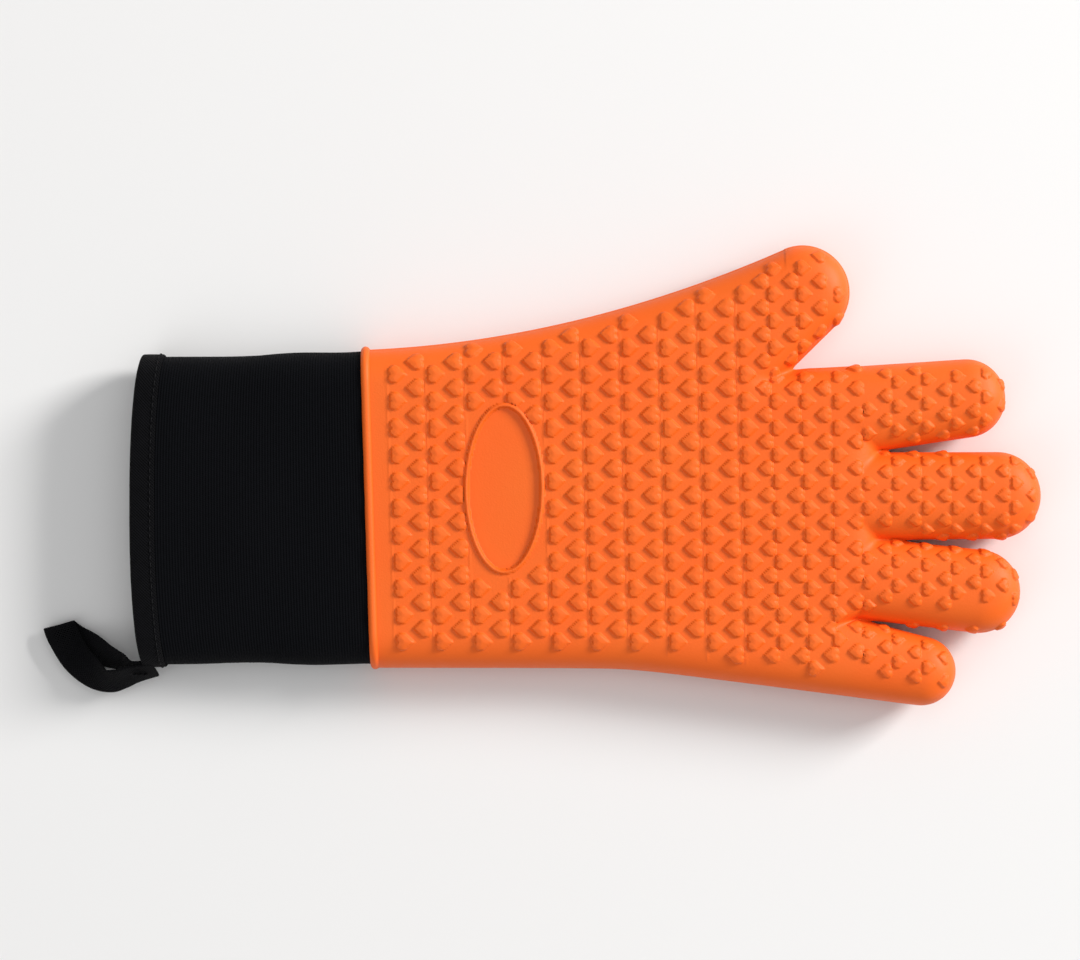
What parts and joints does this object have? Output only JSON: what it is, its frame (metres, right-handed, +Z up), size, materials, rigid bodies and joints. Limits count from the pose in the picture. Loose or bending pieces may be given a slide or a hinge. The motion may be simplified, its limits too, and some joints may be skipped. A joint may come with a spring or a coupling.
{
  "type": "heat resistant glove",
  "caption": "Five-finger moulded silicone heat glove with raised heart grips, quilted cotton liner, long black fabric cuff and hanging loop; fingers, thumb, wrist and loop bend.",
  "frame": {"origin": "middle of the wrist rim, on the face that the glove lies on", "axes": "+X from the wrist to the fingertips, +Y to the thumb side, +Z up, out of the palm face with the badge"},
  "size_m": [0.4034, 0.1898, 0.0292],
  "materials": {
    "silicone": "satin moulded silicone",
    "cotton": "quilted cotton",
    "batting": "soft batting",
    "cuff_fabric": "fine twill",
    "tape": "woven tape",
    "thread": "sewing thread"
  },
  "bodies": {
    "hand": {"shell_hand": "silicone", "liner_hand": "cotton", "wrist_seam": "thread"},
    "knuckles": {"shell_knuckles": "silicone", "liner_knuckles": "cotton"},
    "index": {"shell_index": "silicone", "liner_index": "cotton"},
    "middle": {"shell_middle": "silicone", "liner_middle": "cotton"},
    "ring": {"shell_ring": "silicone", "liner_ring": "cotton"},
    "little": {"shell_little": "silicone", "liner_little": "cotton"},
    "thumb": {"shell_thumb": "silicone", "liner_thumb": "cotton"},
    "cuff": {"cuff_outer": "cuff_fabric", "cuff_batting": "batting", "cuff_lining": "cuff_fabric", "hem_binding": "tape", "hem_stitching": "thread", "loop_tab": "tape", "loop_bar_tack": "thread"},
    "loop": {"hanging_loop": "tape"}
  },
  "joints": [
    {"name": "knuckle_fold", "type": "hinge", "parent": "hand", "child": "knuckles", "pos_m": [0.184, 0, 0.02], "axis": [0, -1, 0], "range_deg": [0, 80], "stiffness_Nm_per_rad": 2},
    {"name": "index_bend", "type": "hinge", "parent": "knuckles", "child": "index", "pos_m": [0.226, 0, 0.02], "axis": [0, -1, 0], "range_deg": [0, 90], "stiffness_Nm_per_rad": 0.2},
    {"name": "middle_bend", "type": "hinge", "parent": "knuckles", "child": "middle", "pos_m": [0.228, 0, 0.02], "axis": [0, -1, 0], "range_deg": [0, 90], "stiffness_Nm_per_rad": 0.2},
    {"name": "ring_bend", "type": "hinge", "parent": "knuckles", "child": "ring", "pos_m": [0.225, 0, 0.02], "axis": [0, -1, 0], "range_deg": [0, 90], "stiffness_Nm_per_rad": 0.2},
    {"name": "little_bend", "type": "hinge", "parent": "knuckles", "child": "little", "pos_m": [0.209, 0, 0.02], "axis": [0, -1, 0], "range_deg": [0, 90], "stiffness_Nm_per_rad": 0.2},
    {"name": "thumb_bend", "type": "hinge", "parent": "hand", "child": "thumb", "pos_m": [0.17239, 0.06232, 0.02], "axis": [0.6018, -0.7986, 0], "range_deg": [0, 60], "stiffness_Nm_per_rad": 0.3},
    {"name": "wrist_fold", "type": "hinge", "parent": "hand", "child": "cuff", "pos_m": [-0.0022, 0, 0.0135], "axis": [0, -1, 0], "range_deg": [-25, 25], "stiffness_Nm_per_rad": 2},
    {"name": "loop_swing", "type": "hinge", "parent": "cuff", "child": "loop", "pos_m": [-0.0984, -0.0658, 0.0135], "axis": [0, 0, 1], "range_deg": [-40, 40]}
  ]
}
